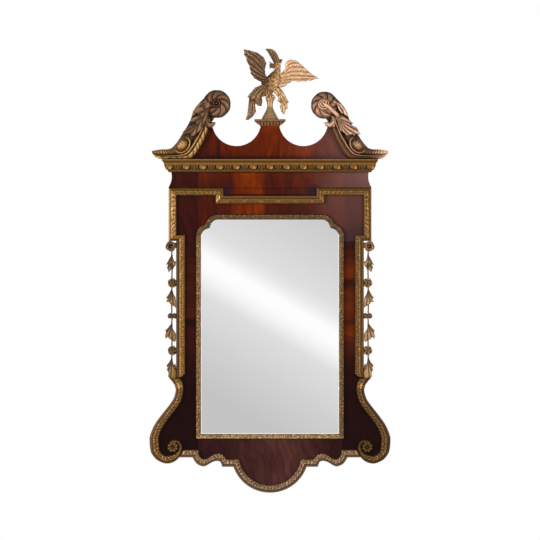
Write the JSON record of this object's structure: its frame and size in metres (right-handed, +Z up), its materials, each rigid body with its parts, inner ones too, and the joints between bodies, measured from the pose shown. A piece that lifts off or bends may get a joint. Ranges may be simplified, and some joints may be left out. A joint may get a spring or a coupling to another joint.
{
  "type": "pediment wall mirror",
  "caption": "Tall wall mirror in a dark veneered frame with gilt carved mouldings, scrolled broken pediment, leaf garlands and a lift-off phoenix finial.",
  "frame": {"origin": "the middle of the wall face of the cross batten, on the centre line behind the top rail", "axes": "+X to the viewer's right, +Y into the wall, +Z up; the mirror faces -Y"},
  "size_m": [0.796, 0.0869, 1.4672],
  "materials": {
    "mahogany": "figured veneer under glossy shellac",
    "gilt": "carved wood, water gilt over red bole, worn",
    "pine": "planed, unfinished, aged",
    "mirror_glass": "silvered plate glass",
    "brass": "stamped, dull",
    "steel": "zinc plated"
  },
  "bodies": {
    "frame": {"top_rail": "mahogany", "stile_left": "mahogany", "stile_right": "mahogany", "bottom_rail": "mahogany", "frieze": "mahogany", "pediment_board": "mahogany", "mirror_glass": "mirror_glass", "glass_bead_left": "pine", "glass_bead_right": "pine", "glass_bead_top": "pine", "glass_bead_bottom": "pine", "backboard": "pine", "cross_batten": "pine", "crest_batten_left": "pine", "crest_batten_right": "pine", "apron_batten": "pine", "sight_moulding_left": "gilt", "sight_moulding_right": "gilt", "sight_moulding_top": "gilt", "sight_moulding_bottom": "gilt", "top_moulding_centre": "gilt", "top_moulding_left": "gilt", "top_moulding_right": "gilt", "side_moulding_left": "gilt", "side_moulding_right": "gilt", "scroll_moulding_left": "gilt", "scroll_moulding_right": "gilt", "apron_moulding_left": "gilt", "apron_moulding_right": "gilt", "apron_moulding_centre": "gilt", "cornice_front": "gilt", "cornice_return_left": "gilt", "cornice_return_right": "gilt", "plinth_cap": "gilt", "scroll_neck_left": "gilt", "scroll_neck_right": "gilt", "rosette_left": "gilt", "rosette_right": "gilt", "scroll_leaf_left": "gilt", "scroll_leaf_right": "gilt", "garland_left_1": "gilt", "garland_left_2": "gilt", "garland_left_3": "gilt", "garland_left_4": "gilt", "garland_right_1": "gilt", "garland_right_2": "gilt", "garland_right_3": "gilt", "garland_right_4": "gilt", "hanger_strap_left": "brass", "hanger_strap_right": "brass", "hanger_screw_left": "steel", "hanger_screw_right": "steel"},
    "finial": {"finial_pedestal": "gilt", "phoenix_body": "gilt", "phoenix_wing_left": "gilt", "phoenix_wing_right": "gilt", "phoenix_tail": "gilt", "phoenix_plume": "gilt"},
    "ring_left": {"hanger_ring_left": "brass"},
    "ring_right": {"hanger_ring_right": "brass"}
  },
  "joints": [
    {"name": "finial_lift", "type": "slide", "parent": "frame", "child": "finial", "axis": [0, 0, 1], "range_m": [0, 0.05]},
    {"name": "ring_left_swing", "type": "hinge", "parent": "frame", "child": "ring_left", "pos_m": [-0.276, -0.00865, -0.17], "axis": [1, 0, 0], "range_deg": [0, 180]},
    {"name": "ring_right_swing", "type": "hinge", "parent": "frame", "child": "ring_right", "pos_m": [0.276, -0.00865, -0.17], "axis": [1, 0, 0], "range_deg": [0, 180]}
  ]
}
